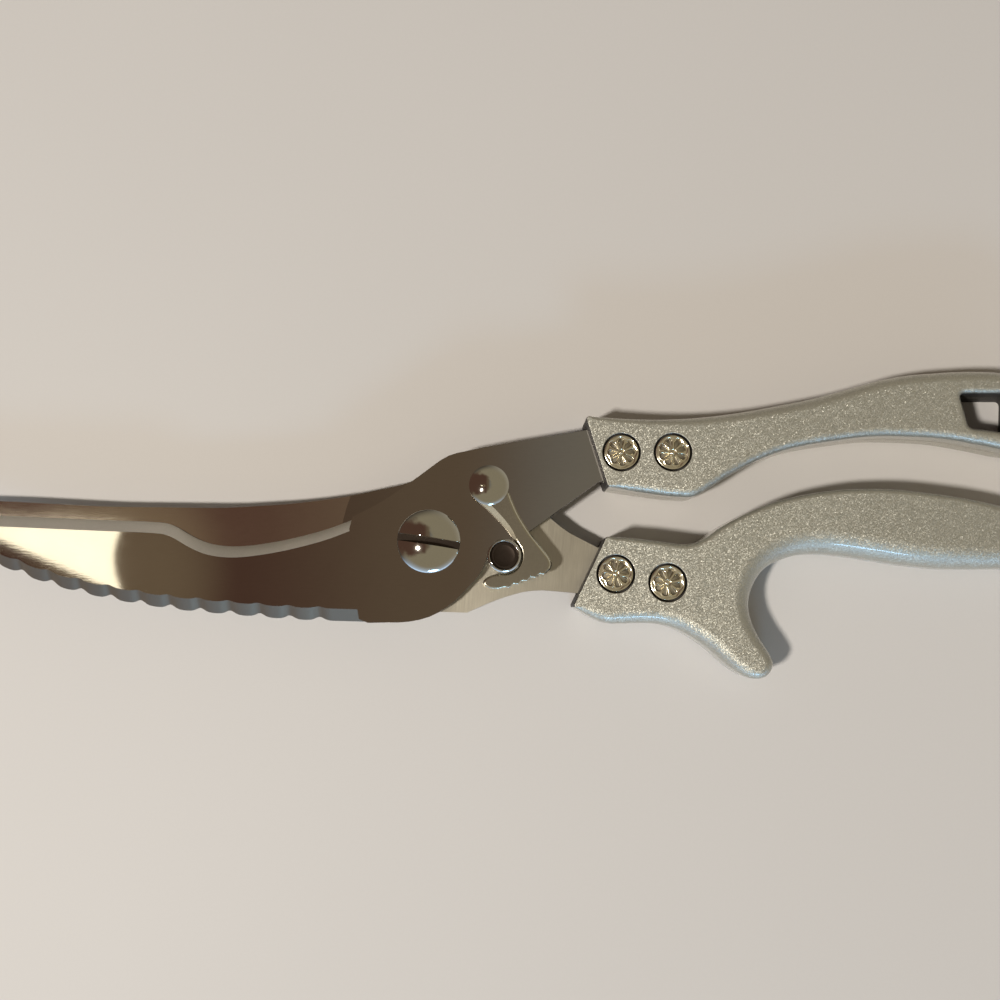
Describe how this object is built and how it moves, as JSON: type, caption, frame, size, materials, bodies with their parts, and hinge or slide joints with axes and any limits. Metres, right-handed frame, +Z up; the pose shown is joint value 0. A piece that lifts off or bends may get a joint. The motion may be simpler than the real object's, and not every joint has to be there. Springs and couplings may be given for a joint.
{
  "type": "poultry shears",
  "caption": "Spring-loaded poultry shears, closed and latched: steel blades with a bone notch and a scalloped back edge, silver riveted handles, a hook latch and a hanging slot.",
  "frame": {"origin": "on the pivot axis, on the flat end of the pivot screw, which is level with the surface that the shears rest on", "axes": "+X along the shears from the pivot towards the handles, +Y across them towards the upper handle, +Z up out of the face with the screw head"},
  "size_m": [0.246, 0.0641, 0.0136],
  "materials": {
    "blade_steel": "satin ground stainless steel, grain along the blade",
    "latch_steel": "tumbled stainless steel with bright edges",
    "bright_metal": "polished nickel plate",
    "spring_steel": "drawn spring wire",
    "handle_silver": "silver metal-flake paint under clear lacquer"
  },
  "bodies": {
    "front_lever": {"front_blade": "blade_steel", "upper_handle_front_shell": "handle_silver", "upper_handle_rear_shell": "handle_silver", "upper_rivet_fore": "bright_metal", "upper_rivet_aft": "bright_metal", "upper_rivet_fore_cap": "bright_metal", "upper_rivet_aft_cap": "bright_metal", "pivot_screw": "bright_metal", "pivot_nut": "bright_metal", "pivot_washer": "bright_metal", "latch_rivet": "bright_metal", "return_spring": "spring_steel"},
    "rear_lever": {"rear_blade": "blade_steel", "lower_handle_front_shell": "handle_silver", "lower_handle_rear_shell": "handle_silver", "lower_rivet_fore": "bright_metal", "lower_rivet_aft": "bright_metal", "lower_rivet_fore_cap": "bright_metal", "lower_rivet_aft_cap": "bright_metal", "catch_stud": "bright_metal"},
    "latch_arm": {"latch": "latch_steel"}
  },
  "joints": [
    {"name": "blade_pivot", "type": "hinge", "parent": "front_lever", "child": "rear_lever", "pos_m": [0, 0, 0.0065], "axis": [0, 0, -1], "range_deg": [0, 28], "stiffness_Nm_per_rad": 0.33, "springref_deg": 43.37, "deforming": ["return_spring"]},
    {"name": "latch_swing", "type": "hinge", "parent": "front_lever", "child": "latch_arm", "pos_m": [0.0126, 0.0116, 0.01085], "axis": [0, 0, 1], "range_deg": [0, 56]}
  ],
  "couplings": [
    {"joint": "latch_swing", "follows": "blade_pivot", "ratio": 2}
  ]
}
